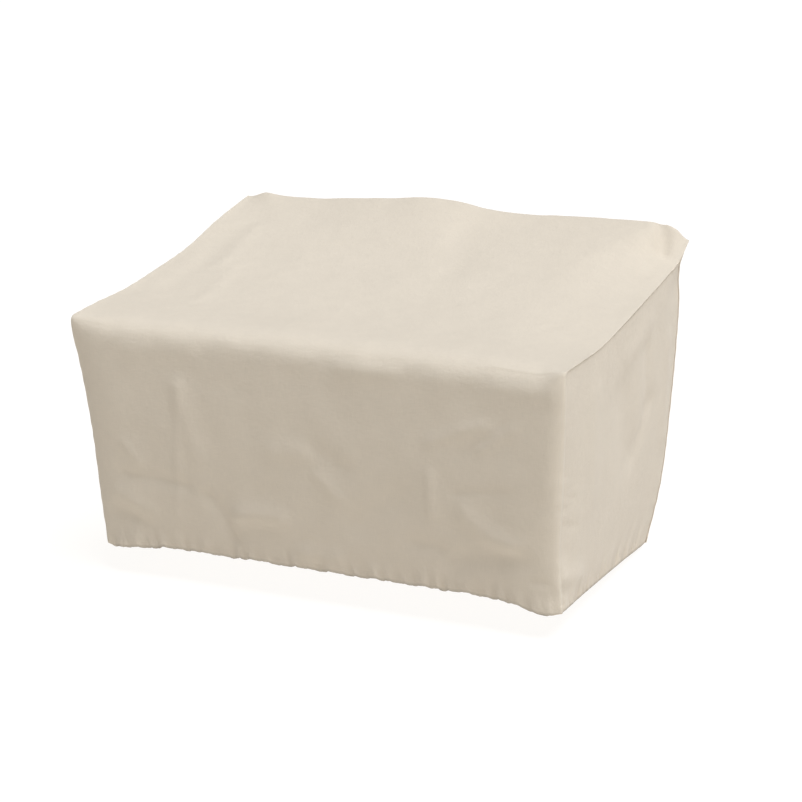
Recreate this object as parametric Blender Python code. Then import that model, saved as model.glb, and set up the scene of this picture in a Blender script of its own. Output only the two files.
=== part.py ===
"""Outdoor sofa cover: three cut panels of woven cloth, sewn into a hollow cover with an elastic hem.

Metres. +X runs along the cover, to the right seen from its front, +Y points to the back and +Z up.
The origin lies under the cloth at the middle of the back ridge, where the cover hangs. The sizes below
are kept with depths measured from the ridge and heights from the ground, and moved there at the end.
Each panel is one sheet: its outer face is worked out by functions and then given its thickness.

The centre panel runs over the top from hem to hem. A place on it is told by two numbers:
    across  0 at the left seam, 1 at the right seam
    along   metres of cloth from the front hem, over the front edge and the ridge, to the back hem
A place on a side panel is told by a, 0 at the front seam and 1 at the back one, and b, 0 at the hem and
1 at the top seam. All functions of a place take whole arrays of places.
"""

import math
from collections import namedtuple

import bmesh
import bpy
import numpy as np

# ---------------------------------------------------------------- driving sizes (metres)
WIDTH = 1.372  # seam to seam along the front edge
DEPTH = 0.955  # front edge to back ridge, level
RIDGE = 0.898  # height of the back ridge above the ground
EDGE = 0.701  # height of the front edge above the ground
HEM = 0.096  # height of the hem above the ground, mid front
CLOTH = 0.002  # thickness of the cloth
SEAM_GAP = 0.0006  # left between two panels at a seam; the facets narrow it to 0.3 mm in places
RIDGE_TUCK = 0.0003  # added to that gap in the pinched corner at each end of the ridge
SEAM_LIP = 0.004  # how far the centre panel's edge stands out past a side panel
HALF = WIDTH / 2
CREAM = (0.70, 0.61, 0.49)
ROUGHNESS = 0.85

# Lengths of cloth in the centre panel's three runs
FRONT_RUN = 0.610
TOP_RUN = 0.975
BACK_RUN = 0.840
RIDGE_AT = FRONT_RUN + TOP_RUN
CLOTH_RUN = RIDGE_AT + BACK_RUN

# How the cloth turns a corner: the lengths of cloth that bend before it and after it
Bend = namedtuple("Bend", "before after")
EDGE_BEND = Bend(0.068, 0.080)  # soft roll along the front edge
EDGE_BEND_LEFT = Bend(0.024, 0.020)  # the same at its two ends
EDGE_BEND_RIGHT = Bend(0.018, 0.010)
RIDGE_BEND = Bend(0.030, 0.030)
RIDGE_BEND_SEAM = Bend(0.012, 0.012)
EDGE_SOFT = (0.170, 0.110)  # widths over which the front edge gets soft, from the left and right seams
RIDGE_SOFT = (0.170, 0.170)
# The upright edges, left and right, where the front and back turn into the sides: their radius
Roll = namedtuple("Roll", "hem top")
FRONT_ROLLS = (Roll(0.130, 0.120), Roll(0.110, 0.026))
BACK_ROLLS = (Roll(0.030, 0.030), Roll(0.030, 0.030))
ROLL_CURL = 3  # how fast a roll narrows from the hem up
SETTLE = 0.17  # width over which the top's depth settles from its middle to a seam
SHOULDER = 0.22  # the same for its height, at the front edge
RIDGE_SHOULDER = 0.06  # the same at the ridge
HEM_SHOULDER = 0.22  # the same for the height of the hem
RIDGE_PINCH = 4  # how fast the narrow shoulders at the ridge widen away from it

# ---------------------------------------------------------------- the four level lines
# Depths are measured from the ridge and heights from the ground.
Line = namedtuple("Line", "left middle right")
LINES = {
    "front_hem": Line((-0.634, -0.893, 0.075), (0, -0.919, HEM), (0.664, -0.894, 0.070)),
    "front_edge": Line((-0.697, -0.948, 0.699), (0, -DEPTH, EDGE), (HALF, -DEPTH, EDGE)),
    "ridge": Line((-0.668, 0, 0.872), (0, 0, RIDGE), (0.684, 0, 0.852)),
    "back_hem": Line((-0.630, -0.150, 0.048), (0, -0.135, 0.060), (0.634, -0.152, 0.018)),
}

# How each run bows away from the straight line between its two level lines, at a share of the run.
# "in" draws a seam towards the middle of the cover, "back" and "up" move it, all in metres.
Bow = namedtuple("Bow", "at left_in left_back left_up mid_back mid_up right_in right_back right_up")
FRONT_BOWS = (
    Bow(0.00, 0.000, 0.000, 0.000, 0.000, 0.000, 0.000, 0.000, 0.000),
    Bow(0.20, 0.000, 0.009, 0.000, -0.006, 0.000, 0.010, 0.005, 0.000),
    Bow(0.55, 0.004, 0.021, 0.000, -0.011, 0.000, 0.009, 0.015, 0.000),
    Bow(0.88, -0.003, 0.020, 0.000, -0.002, 0.000, 0.010, 0.023, 0.000),
    Bow(1.00, 0.000, 0.000, 0.000, 0.000, 0.000, 0.000, 0.000, 0.000),
)
TOP_BOWS = (
    Bow(0.00, 0.000, 0.000, 0.000, 0.000, 0.000, 0.000, 0.000, 0.000),
    Bow(0.12, 0.002, 0.000, -0.006, 0.000, -0.011, 0.001, 0.000, -0.018),
    Bow(0.27, 0.002, 0.000, -0.022, 0.000, -0.026, 0.003, 0.000, -0.039),
    Bow(0.45, 0.002, 0.000, -0.028, 0.000, -0.032, 0.004, 0.000, -0.045),
    Bow(0.62, 0.002, 0.000, -0.028, 0.000, -0.031, 0.004, 0.000, -0.045),
    Bow(0.80, 0.002, 0.000, -0.008, 0.000, -0.021, 0.003, 0.000, -0.042),
    Bow(0.93, 0.001, 0.000, -0.002, 0.000, -0.008, 0.002, 0.000, -0.032),
    Bow(1.00, 0.000, 0.000, 0.000, 0.000, 0.000, 0.000, 0.000, 0.000),
)
BACK_BOWS = (
    Bow(0.00, 0.000, 0.000, 0.000, 0.000, 0.000, 0.000, 0.000, 0.000),
    Bow(0.07, 0.008, -0.012, 0.000, 0.003, 0.000, 0.012, -0.014, 0.000),
    Bow(0.22, 0.002, -0.002, 0.000, 0.010, 0.000, 0.003, -0.002, 0.000),
    Bow(0.55, -0.006, 0.014, 0.000, 0.020, 0.000, -0.008, 0.018, 0.000),
    Bow(0.82, -0.004, 0.012, 0.000, 0.012, 0.000, -0.011, 0.018, 0.000),
    Bow(1.00, 0.000, 0.000, 0.000, 0.000, 0.000, 0.000, 0.000, 0.000),
)

# The ridge is not level: the left half is carried higher towards the middle, then steps down.
Crown = namedtuple("Crown", "x lift")
RIDGE_CROWN = (
    Crown(-HALF, 0.000),
    Crown(-0.600, -0.010),
    Crown(-0.480, -0.012),
    Crown(-0.230, 0.006),
    Crown(-0.050, 0.018),
    Crown(0.020, 0.012),
    Crown(0.090, 0.000),
    Crown(0.220, -0.006),
    Crown(0.400, 0.000),
    Crown(0.540, -0.001),
    Crown(0.590, -0.004),
    Crown(0.630, -0.011),
    Crown(0.655, -0.007),
    Crown(HALF, -0.002),
)
CROWN_REACH = 0.34  # length of cloth either side of the ridge that the crown lifts

# ---------------------------------------------------------------- folds
# Soft ridges (height above 0) and troughs (below 0). "one" and "two" are the fold's two ends,
# as a place on the face: front and back (x, height), top (x, depth), side (depth, height).
# "bow" is how far the fold's middle lies off the straight line, to its left going from one to two.
Fold = namedtuple("Fold", "one two width height bow")
FOLD_BODY = 0.35  # share of a fold's length, either side of its middle, that keeps its full height
FRONT_FOLDS = (
    # full cloth beside the long upright crease left of the middle
    Fold((-0.386, 0.600), (-0.330, 0.330), 0.030, 0.0050, 0.000),
    # the valley from the left seam that turns down to the hem, with a ridge under its start
    Fold((-0.590, 0.292), (-0.330, 0.280), 0.026, -0.0056, 0.000),
    Fold((-0.330, 0.280), (-0.222, 0.120), 0.026, -0.0056, 0.018),
    Fold((-0.590, 0.238), (-0.465, 0.188), 0.026, 0.0050, 0.000),
    # full cloth in the middle of the left half, over the hem
    Fold((-0.205, 0.235), (-0.070, 0.250), 0.032, 0.0070, 0.004),
    Fold((-0.120, 0.405), (-0.010, 0.415), 0.030, 0.0050, 0.000),
    # the slanting crease in the middle and the hollow above it
    Fold((0.005, 0.370), (0.085, 0.290), 0.026, 0.0056, 0.000),
    Fold((-0.010, 0.450), (0.115, 0.385), 0.028, -0.0056, 0.000),
    Fold((0.090, 0.225), (0.260, 0.345), 0.042, -0.0064, -0.010),
    # the short upright crease right of the middle
    Fold((0.328, 0.430), (0.330, 0.270), 0.022, 0.0058, 0.000),
    Fold((0.262, 0.212), (0.360, 0.205), 0.026, -0.0060, 0.000),
    # the slanting crease that runs up to the front right corner
    Fold((0.300, 0.470), (0.540, 0.562), 0.024, 0.0056, 0.008),
    # the lobe of full cloth low on the right, and the hollow under it
    Fold((0.400, 0.340), (0.575, 0.238), 0.028, 0.0078, -0.026),
    Fold((0.340, 0.165), (0.620, 0.205), 0.030, -0.0056, 0.010),
    # low cloth over the hem
    Fold((-0.060, 0.135), (0.080, 0.140), 0.028, 0.0044, 0.000),
    # the cloth is drawn in under the front edge here and there
    Fold((-0.240, 0.645), (-0.120, 0.650), 0.028, -0.0040, 0.000),
    Fold((0.470, 0.635), (0.640, 0.635), 0.028, -0.0040, 0.000),
)
TOP_FOLDS = (
    Fold((-0.598, -0.160), (-0.575, -0.740), 0.036, -0.0030, 0.000),
    Fold((-0.540, -0.150), (-0.520, -0.500), 0.030, 0.0030, 0.000),
    Fold((-0.480, -0.400), (-0.440, -0.760), 0.030, 0.0028, 0.000),
    Fold((0.050, -0.050), (0.140, -0.420), 0.050, -0.0034, 0.000),
)
# the pinch in the ridge at the right corner, which runs on into the seam
EAR_FOLDS = (
    Fold((0.600, -0.004), (0.634, -0.080), 0.016, -0.0060, 0.000),
)
EAR_CALM = 0.012  # it fades out this near the seam
BACK_FOLDS = (
    Fold((-0.480, 0.780), (-0.250, 0.260), 0.036, 0.0056, 0.020),
    Fold((-0.560, 0.640), (-0.400, 0.300), 0.030, -0.0036, 0.010),
    Fold((0.450, 0.760), (0.300, 0.200), 0.038, 0.0056, -0.020),
    Fold((0.560, 0.620), (0.430, 0.300), 0.030, -0.0036, 0.000),
    Fold((-0.050, 0.600), (0.080, 0.140), 0.034, -0.0050, 0.012),
    Fold((-0.380, 0.330), (-0.520, 0.130), 0.030, -0.0044, 0.000),
    Fold((0.520, 0.340), (0.440, 0.120), 0.028, 0.0046, 0.000),
)
SIDE_FOLDS = (
    # full cloth beside the front seam, and the hollow behind it
    Fold((-0.720, 0.630), (-0.700, 0.270), 0.055, 0.0050, 0.000),
    Fold((-0.500, 0.550), (-0.430, 0.330), 0.075, -0.0085, 0.000),
    # the slant in that hollow
    Fold((-0.235, 0.480), (-0.400, 0.310), 0.036, -0.0046, 0.000),
    # full cloth towards the back seam, and a slant up to the top seam
    Fold((-0.135, 0.640), (-0.115, 0.270), 0.036, 0.0052, 0.000),
    Fold((-0.500, 0.606), (-0.270, 0.690), 0.034, 0.0036, 0.000),
    Fold((-0.320, 0.640), (-0.290, 0.420), 0.034, -0.0038, 0.000),
    Fold((-0.930, 0.175), (-0.720, 0.112), 0.032, 0.0050, 0.000),
)

# The elastic gathers the hem into waves, whose pitch and depth drift slowly along it.
GATHER_PITCH = 0.046
GATHER_DEPTH = 0.0045
GATHER_RISE = 0.034  # height over which the gathers fade
SCALLOP = 0.5  # how far the hem line rises and falls, for each metre that the waves push the cloth out
GATHER_CALM = 0.040  # the gathers fade out this near a seam
CORNER_CALM = 0.050  # the folds of a face fade out this near the front edge and the ridge
BACK_GATHER_START = 0.4  # where along the waves the back hem begins, so that it differs from the front
Drift = namedtuple("Drift", "rate amount start")  # rate in turns for each gather, start in radians
PITCH_DRIFTS = (Drift(0.31, 0.9, 0.0), Drift(0.17, 0.5, 1.0))
DEPTH_DRIFT = Drift(0.23, 0.25, 0.7)
SEAM_REACH = 0.16  # share of a side panel's depth over which an upright seam shapes it
SIDE_HEM_RISE = 0.004  # how far the side hems bow up between their corners
PROBE = 0.0015  # half the distance over which a surface's slope is read
PROBE_INSET = 0.002  # a slope is read no nearer than this to the cloth's edge
SAME_PLACE = 1e-6  # two columns closer than this meet

# ---------------------------------------------------------------- how finely the sheets are cut
BODY_STEP = 0.046  # across the body of the centre panel
HEM_STEP = 0.0115  # along a hem
EDGE_STEPS = (0.0, SEAM_LIP, 0.0075, 0.012, 0.020, 0.032, 0.052)  # columns beside a seam
# Rows as shares of the front or back run, from the hem up, and of the top run, from front to back.
UP_SHARES = (0, 0.02, 0.05, 0.10, 0.16, 0.22, 0.28, 0.34, 0.40, 0.46, 0.53, 0.60, 0.68, 0.76, 0.84)
UP_SHARES += (0.89, 0.930, 0.962, 0.982, 0.993, 1)
TOP_SHARES = (0, 0.010, 0.026, 0.050, 0.10, 0.18, 0.26, 0.35, 0.44, 0.53, 0.62, 0.71, 0.80, 0.88)
TOP_SHARES += (0.93, 0.960, 0.980, 0.992, 1)
HEM_ROWS = 3  # rows of fine columns at each hem


# ================================================================ the shape of the cloth
def ease(t):
    """0 to 1 with flat ends."""
    t = np.clip(t, 0.0, 1.0)
    return t * t * (3 - 2 * t)


def quarter_turn(t):
    """0 to 1 along a quarter circle: steep at 0, flat at 1."""
    return np.sqrt(1 - (1 - np.clip(t, 0.0, 1.0)) ** 2)


def spline(places, values, at):
    """A smooth curve through rows of values at rising places."""
    places = np.asarray(places, float)
    values = np.asarray(values, float)
    at = np.clip(at, places[0], places[-1])
    k = np.clip(np.searchsorted(places, at, side="right") - 1, 0, len(places) - 2)
    tangents = np.gradient(values, places, axis=0)
    step = places[k + 1] - places[k]
    t = (at - places[k]) / step
    if values.ndim == 2:
        step, t = step[:, None], t[:, None]
    return (
        (2 * t**3 - 3 * t**2 + 1) * values[k]
        + (t**3 - 2 * t**2 + t) * step * tangents[k]
        + (-2 * t**3 + 3 * t**2) * values[k + 1]
        + (t**3 - t**2) * step * tangents[k + 1]
    )


Run = namedtuple("Run", "start end bows start_shoulder end_shoulder rolls")
RUNS = {
    "front": Run("front_hem", "front_edge", FRONT_BOWS, HEM_SHOULDER, SHOULDER, FRONT_ROLLS),
    "top": Run("front_edge", "ridge", TOP_BOWS, SHOULDER, RIDGE_SHOULDER, None),
    "back": Run("ridge", "back_hem", BACK_BOWS, RIDGE_SHOULDER, HEM_SHOULDER, BACK_ROLLS),
}


def shoulder_at(run, share):
    """Width over which a run settles towards a seam: narrow at the ridge, and soon wide away from it."""
    if run.start == "ridge":
        at_start = (1 - share) ** RIDGE_PINCH
    elif run.end == "ridge":
        at_start = 1 - share**RIDGE_PINCH
    else:
        at_start = 1 - share
    return run.start_shoulder * at_start + run.end_shoulder * (1 - at_start)


def on_run(name, share, across):
    """The sharp-cornered surface at a share of one run, before corners are softened."""
    run = RUNS[name]
    share = np.broadcast_to(np.asarray(share, float), across.shape)
    start, end = LINES[run.start], LINES[run.end]
    bow = Bow(*spline([row.at for row in run.bows], run.bows, share).T)

    def between(side, in_x, in_y, in_z):
        straight = np.outer(1 - share, start[side]) + np.outer(share, end[side])
        return straight + np.stack((in_x, in_y, in_z), axis=1)

    left = between(0, bow.left_in, bow.left_back, bow.left_up)
    middle = between(1, 0 * share, bow.mid_back, bow.mid_up)
    right = between(2, -bow.right_in, bow.right_back, bow.right_up)
    edge = left * (1 - across)[:, None] + right * across[:, None]
    x = edge[:, 0]
    from_seam = np.minimum(x - left[:, 0], right[:, 0] - x)
    if run.rolls:
        near_hem = (1 - share) ** ROLL_CURL
        radii = [roll.top + (roll.hem - roll.top) * near_hem for roll in run.rolls]
        turned = quarter_turn((x - left[:, 0]) / radii[0])
        depth_share = np.minimum(turned, quarter_turn((right[:, 0] - x) / radii[1]))
    else:
        depth_share = ease(from_seam / SETTLE)
    y = edge[:, 1] + (middle[:, 1] - edge[:, 1]) * depth_share
    z = edge[:, 2] + (middle[:, 2] - edge[:, 2]) * ease(from_seam / shoulder_at(run, share))
    return np.stack((x, y, z), axis=1)


def bend_at(soft, left, right, widths, across):
    """The lengths of cloth that bend before and after a corner: soft in the middle, sharper at the seams."""
    from_left = ease(across * WIDTH / widths[0])
    from_right = ease((1 - across) * WIDTH / widths[1])

    def length(k):
        on_left = left[k] + (soft[k] - left[k]) * from_left
        on_right = right[k] + (soft[k] - right[k]) * from_right
        return np.where(across < 0.5, on_left, on_right)

    return Bend(length(0), length(1))


def rounded(past, bend):
    """A length past a corner, as the lengths to go before and after it, rounded off within the bend."""
    before, after = bend
    turned = np.clip((past + before) / (before + after), 0, 1)
    to_corner = np.where(past < -before, past, -before * (1 - turned) ** 2)
    from_corner = np.where(past > after, past, after * turned**2)
    return to_corner, from_corner


def taut(across, along):
    """The centre panel without its folds."""
    edge_bend = bend_at(EDGE_BEND, EDGE_BEND_LEFT, EDGE_BEND_RIGHT, EDGE_SOFT, across)
    ridge_bend = bend_at(RIDGE_BEND, RIDGE_BEND_SEAM, RIDGE_BEND_SEAM, RIDGE_SOFT, across)
    to_edge, past_edge = rounded(along - FRONT_RUN, edge_bend)
    to_ridge, past_ridge = rounded(along - RIDGE_AT, ridge_bend)
    on_top = np.where(along < FRONT_RUN + TOP_RUN / 2, past_edge, TOP_RUN + to_ridge)
    point = on_run("front", 1 + to_edge / FRONT_RUN, across)
    point += on_run("top", on_top / TOP_RUN, across) - on_run("top", 0, across)
    point += on_run("back", past_ridge / BACK_RUN, across) - on_run("back", 0, across)
    reach = 1 - ease(np.abs(along - RIDGE_AT) / CROWN_REACH)
    lift = spline([row.x for row in RIDGE_CROWN], [row.lift for row in RIDGE_CROWN], point[:, 0])
    point[:, 2] += lift * reach
    return point


def unit(vectors):
    """The same directions with length 1."""
    return vectors / np.linalg.norm(vectors, axis=1)[:, None]


def slopes(surface, across, along):
    """Unit vectors of a surface at places: out of the cloth, and up it from the front hem on."""
    across = np.clip(across, PROBE_INSET, 1 - PROBE_INSET)
    along = np.clip(along, PROBE_INSET, CLOTH_RUN - PROBE_INSET)
    sideways = surface(across + PROBE, along) - surface(across - PROBE, along)
    upwards = surface(across, along + PROBE) - surface(across, along - PROBE)
    return unit(np.cross(sideways, upwards)), unit(upwards)


def fold_height(folds, place):
    """What the folds of a face add at places on it."""
    height = np.zeros(len(place))
    for fold in folds:
        one, two = np.array(fold.one), np.array(fold.two)
        run = two - one
        length = np.linalg.norm(run)
        share = (place - one) @ run / length**2
        aside = (run[0] * (place - one)[:, 1] - run[1] * (place - one)[:, 0]) / length
        aside = aside - fold.bow * (1 - (2 * share - 1) ** 2)
        ends = np.maximum(0.0, np.abs(share - 0.5) - FOLD_BODY) * length / fold.width
        height += fold.height * np.exp(-((aside / fold.width) ** 2) - ends**2)
    return height


def gathers(distance, above):
    """How far the gathered hem pushes the cloth out, at a distance along it and a height above it."""
    turn = 2 * math.pi * distance / GATHER_PITCH

    def drift(row):
        return row.amount * np.sin(row.rate * turn + row.start)

    wave = np.sin(turn + sum(drift(row) for row in PITCH_DRIFTS))
    size = 1 - DEPTH_DRIFT.amount + drift(DEPTH_DRIFT)
    return GATHER_DEPTH * wave * size * np.exp(-((above / GATHER_RISE) ** 2))


def centre_cloth(across, along):
    """The centre panel's outer face, with its folds and its gathered hems."""
    point = taut(across, along)
    x, y, z = point.T
    from_seam = np.minimum(across, 1 - across) * WIDTH
    calm = ease(from_seam / GATHER_CALM)
    from_corner = np.minimum(np.abs(along - FRONT_RUN), np.abs(along - RIDGE_AT))
    on_back = along >= RIDGE_AT
    push = np.select(
        (along < FRONT_RUN, on_back),
        (
            fold_height(FRONT_FOLDS, np.stack((x, z), axis=1)),
            fold_height(BACK_FOLDS, np.stack((x, z), axis=1)),
        ),
        fold_height(TOP_FOLDS, np.stack((x, y), axis=1)),
    )
    push *= calm * ease(from_corner / CORNER_CALM)
    pinch = fold_height(EAR_FOLDS, np.stack((x, y), axis=1)) * ease(from_seam / EAR_CALM)
    push += np.where(z > (EDGE + RIDGE) / 2, pinch, 0.0)
    start = np.where(on_back, BACK_GATHER_START, 0.0)
    wave = gathers(start + across * WIDTH, np.minimum(along, CLOTH_RUN - along)) * calm
    point = point + slopes(taut, across, along)[0] * (push + wave)[:, None]
    point[:, 2] += SCALLOP * wave
    return point


def seam(side, along):
    """The edge of a side panel's outer face: just under the centre panel, one lip in from its edge."""
    lip = np.full(along.shape, SEAM_LIP / WIDTH)
    across = lip if side == "left" else 1 - lip
    tuck = RIDGE_TUCK * np.exp(-(((along - RIDGE_AT) / RIDGE_BEND_SEAM.before) ** 2))
    under = CLOTH + SEAM_GAP + tuck
    return centre_cloth(across, along) - slopes(taut, across, along)[0] * under[:, None]


def side_cloth(side):
    """The outer face of a side panel, spanned between its three seams and its hem line."""
    out = 1 if side == "right" else -1
    low_front, low_back, high_front, high_back = (
        seam(side, np.array([along])) for along in (0.0, CLOTH_RUN, FRONT_RUN, RIDGE_AT)
    )

    def hem(a):
        point = low_front * (1 - a)[:, None] + low_back * a[:, None]
        point[:, 2] += 4 * a * (1 - a) * SIDE_HEM_RISE
        return point

    def hung(a, b, top):
        """How far out the cloth is: it hangs plumb below the top seam and is drawn in towards the hem."""
        return hem(a)[:, 0] * (1 - b) ** 2 + top[:, 0] * (1 - (1 - b) ** 2)

    def surface(a, b):
        front = seam(side, FRONT_RUN * b)
        back = seam(side, CLOTH_RUN - BACK_RUN * b)
        top = seam(side, FRONT_RUN + TOP_RUN * a)
        from_back, from_top = (1 - a)[:, None], (1 - b)[:, None]
        from_front, from_hem = a[:, None], b[:, None]
        corners = from_back * from_top * low_front + from_front * from_top * low_back
        corners += from_back * from_hem * high_front + from_front * from_hem * high_back
        point = from_back * front + from_front * back + from_top * hem(a) + from_hem * top - corners
        point[:, 0] = hung(a, b, top)
        none = np.zeros(len(a))
        top_front = np.broadcast_to(high_front, point.shape)
        top_back = np.broadcast_to(high_back, point.shape)
        point[:, 0] += ease(1 - a / SEAM_REACH) * (front[:, 0] - hung(none, b, top_front))
        point[:, 0] += ease(1 - (1 - a) / SEAM_REACH) * (back[:, 0] - hung(none + 1, b, top_back))
        above = b * FRONT_RUN
        from_seam = np.minimum(a, 1 - a) * DEPTH
        calm = ease(from_seam / GATHER_CALM) * ease((1 - b) * FRONT_RUN / GATHER_CALM)
        wave = gathers(a * DEPTH, above) * calm
        point[:, 0] += out * (fold_height(SIDE_FOLDS, point[:, 1:]) * calm + wave)
        point[:, 2] += SCALLOP * wave
        return point

    return surface


# ================================================================ making the sheets
def spread(low, high, step, beside):
    """Places from low to high: close together beside both ends, then evenly at about one step."""
    inner = [low + d for d in beside] + [high - d for d in beside]
    start, end = low + beside[-1], high - beside[-1]
    count = max(1, round((end - start) / step))
    inner += [start + (end - start) * k / count for k in range(1, count)]
    return sorted(inner)


def bridge(mesh, lower, upper, turned):
    """Triangles and quads between two rows of (place, vertex), which may differ in number."""
    i = j = 0
    while i < len(lower) - 1 or j < len(upper) - 1:
        step_low = i < len(lower) - 1
        step_up = j < len(upper) - 1
        if step_low and step_up and abs(lower[i + 1][0] - upper[j + 1][0]) < SAME_PLACE:
            face = [lower[i][1], lower[i + 1][1], upper[j + 1][1], upper[j][1]]
            i, j = i + 1, j + 1
        elif step_low and (not step_up or lower[i + 1][0] < upper[j + 1][0]):
            face = [lower[i][1], lower[i + 1][1], upper[j][1]]
            i += 1
        else:
            face = [lower[i][1], upper[j + 1][1], upper[j][1]]
            j += 1
        mesh.faces.new(face[::-1] if turned else face)


def skin(rows, surface, turned):
    """The outer face of a sheet from its rows, each (b, [a, ...])."""
    a = np.array([place for b, places in rows for place in places])
    b = np.array([b for b, places in rows for place in places])
    mesh = bmesh.new()
    verts = [mesh.verts.new(point) for point in surface(a, b) - ORIGIN]
    made = []
    for _, places in rows:
        first = sum(len(row) for row in made)
        made.append(list(zip(places, verts[first:])))
    for lower, upper in zip(made, made[1:]):
        bridge(mesh, lower, upper, turned)
    return mesh


def finish(name, mesh, material):
    """An object made of the mesh, in the scene."""
    data = bpy.data.meshes.new(name)
    mesh.to_mesh(data)
    mesh.free()
    data.shade_smooth()
    data.materials.append(material)
    panel = bpy.data.objects.new(name, data)
    bpy.context.scene.collection.objects.link(panel)
    return panel


def centre_panel(material):
    """The centre panel is thickened along its own normals."""
    panel = finish("centre_panel", skin(centre_rows(), centre_cloth, False), material)
    thick = panel.modifiers.new("thickness", "SOLIDIFY")
    thick.thickness = CLOTH
    thick.offset = -1


def side_panel(side, material):
    """A side panel is thickened straight inwards, so its edges stay clear of the centre panel."""
    mesh = skin(side_rows(), side_cloth(side), side == "left")
    inner = bmesh.ops.extrude_face_region(mesh, geom=mesh.faces[:], use_keep_orig=True)["geom"]
    inner_verts = [piece for piece in inner if isinstance(piece, bmesh.types.BMVert)]
    inwards = -CLOTH if side == "right" else CLOTH
    bmesh.ops.translate(mesh, verts=inner_verts, vec=(inwards, 0, 0))
    bmesh.ops.recalc_face_normals(mesh, faces=mesh.faces[:])
    finish("side_panel_" + side, mesh, material)


def centre_rows():
    """Rows from the front hem over the top to the back hem, with fine columns at both hems."""
    beside = [step / WIDTH for step in EDGE_STEPS]
    body = spread(0, 1, BODY_STEP / WIDTH, beside)
    fine = spread(0, 1, HEM_STEP / WIDTH, beside)
    alongs = [FRONT_RUN * share for share in UP_SHARES]
    alongs += [FRONT_RUN + TOP_RUN * share for share in TOP_SHARES[1:]]
    alongs += [CLOTH_RUN - BACK_RUN * share for share in UP_SHARES[-2::-1]]
    last = len(alongs) - HEM_ROWS
    return [(b, fine if k < HEM_ROWS or k >= last else body) for k, b in enumerate(alongs)]


def side_rows():
    """Rows from the hem up, with fine columns at the hem and the centre panel's rows as the others."""
    fine = spread(0, 1, HEM_STEP / DEPTH, [step / DEPTH for step in EDGE_STEPS])
    return [(b, fine if k < HEM_ROWS else TOP_SHARES) for k, b in enumerate(UP_SHARES)]


def under_ridge():
    """The mount: the underside of the cloth at the middle of the ridge."""
    left, right = LINES["ridge"].left[0], LINES["ridge"].right[0]
    middle = np.array([-left / (right - left)])
    at = np.array([RIDGE_AT])
    return (taut(middle, at) - slopes(taut, middle, at)[0] * CLOTH)[0]


def fabric(name, colour, roughness):
    """A plain cloth."""
    material = bpy.data.materials.new(name)
    material.use_nodes = True
    shader = material.node_tree.nodes["Principled BSDF"]
    shader.inputs["Base Color"].default_value = (*colour, 1)
    shader.inputs["Roughness"].default_value = roughness
    shader.inputs["Metallic"].default_value = 0
    return material


for old in list(bpy.data.objects):
    bpy.data.objects.remove(old, do_unlink=True)

ORIGIN = under_ridge()
centre_panel(fabric("centre_cloth", CREAM, ROUGHNESS))
side_panel("right", fabric("right_cloth", CREAM, ROUGHNESS))
side_panel("left", fabric("left_cloth", CREAM, ROUGHNESS))
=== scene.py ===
"""The looks of the outdoor sofa cover: three panels of creased woven cloth, and their sewing.

Metres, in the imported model's frame: +X runs along the cover, to the right seen from its front, +Y points
to the back, +Z up, and the origin lies under the cloth at the middle of the back ridge. The sizes below
are kept with depths measured from the ridge and heights from the ground, and moved to the frame when a
mesh is made. All functions of a place take whole arrays of places.

The centre panel runs over the top from hem to hem. A place on it is told by two numbers:
    across  0 at the left seam, 1 at the right seam
    along   metres of cloth from the front hem, over the front edge and the ridge, to the back hem
A place on a side panel is told by a, 0 at the front seam and 1 at the back one, and b, 0 at the hem and
1 at the top seam.
"""

import math
from collections import namedtuple

import bpy
import numpy as np
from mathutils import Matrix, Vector, noise


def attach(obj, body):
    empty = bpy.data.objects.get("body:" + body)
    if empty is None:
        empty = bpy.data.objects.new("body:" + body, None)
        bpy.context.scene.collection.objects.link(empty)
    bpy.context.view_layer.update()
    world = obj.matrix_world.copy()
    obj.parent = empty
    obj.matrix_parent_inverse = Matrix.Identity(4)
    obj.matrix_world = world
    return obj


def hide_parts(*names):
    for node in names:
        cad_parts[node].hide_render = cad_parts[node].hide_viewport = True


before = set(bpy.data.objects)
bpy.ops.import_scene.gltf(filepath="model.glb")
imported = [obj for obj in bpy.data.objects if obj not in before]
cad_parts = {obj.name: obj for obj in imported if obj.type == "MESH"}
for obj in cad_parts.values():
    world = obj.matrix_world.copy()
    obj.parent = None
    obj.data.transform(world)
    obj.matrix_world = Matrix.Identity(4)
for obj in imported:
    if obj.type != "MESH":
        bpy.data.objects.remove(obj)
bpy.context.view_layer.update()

# ---------------------------------------------------------------- driving sizes (metres)
WIDTH = 1.372  # seam to seam, in the centre panel's cut
DEPTH = 0.955  # front edge to back ridge, level
RIDGE = 0.898  # height of the back ridge above the ground
EDGE = 0.701  # height of the front edge above the ground
HEM = 0.096  # height of the hem above the ground, mid front
CLOTH = 0.002  # thickness of the cloth
SEAM_GAP = 0.0003  # left between two panels at a seam
RIDGE_TUCK = 0.0015  # added to that gap in the pinched corner at each end of the ridge
SEAM_LIP = 0.0018  # how far the centre panel's edge stands out past a side panel
BACK_LIP = 0.0012  # the same below the ridge at the back
HALF = WIDTH / 2

# Lengths of cloth in the centre panel's three runs
FRONT_RUN = 0.610
TOP_RUN = 0.975
BACK_RUN = 0.840
RIDGE_AT = FRONT_RUN + TOP_RUN
CLOTH_RUN = RIDGE_AT + BACK_RUN

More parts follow.
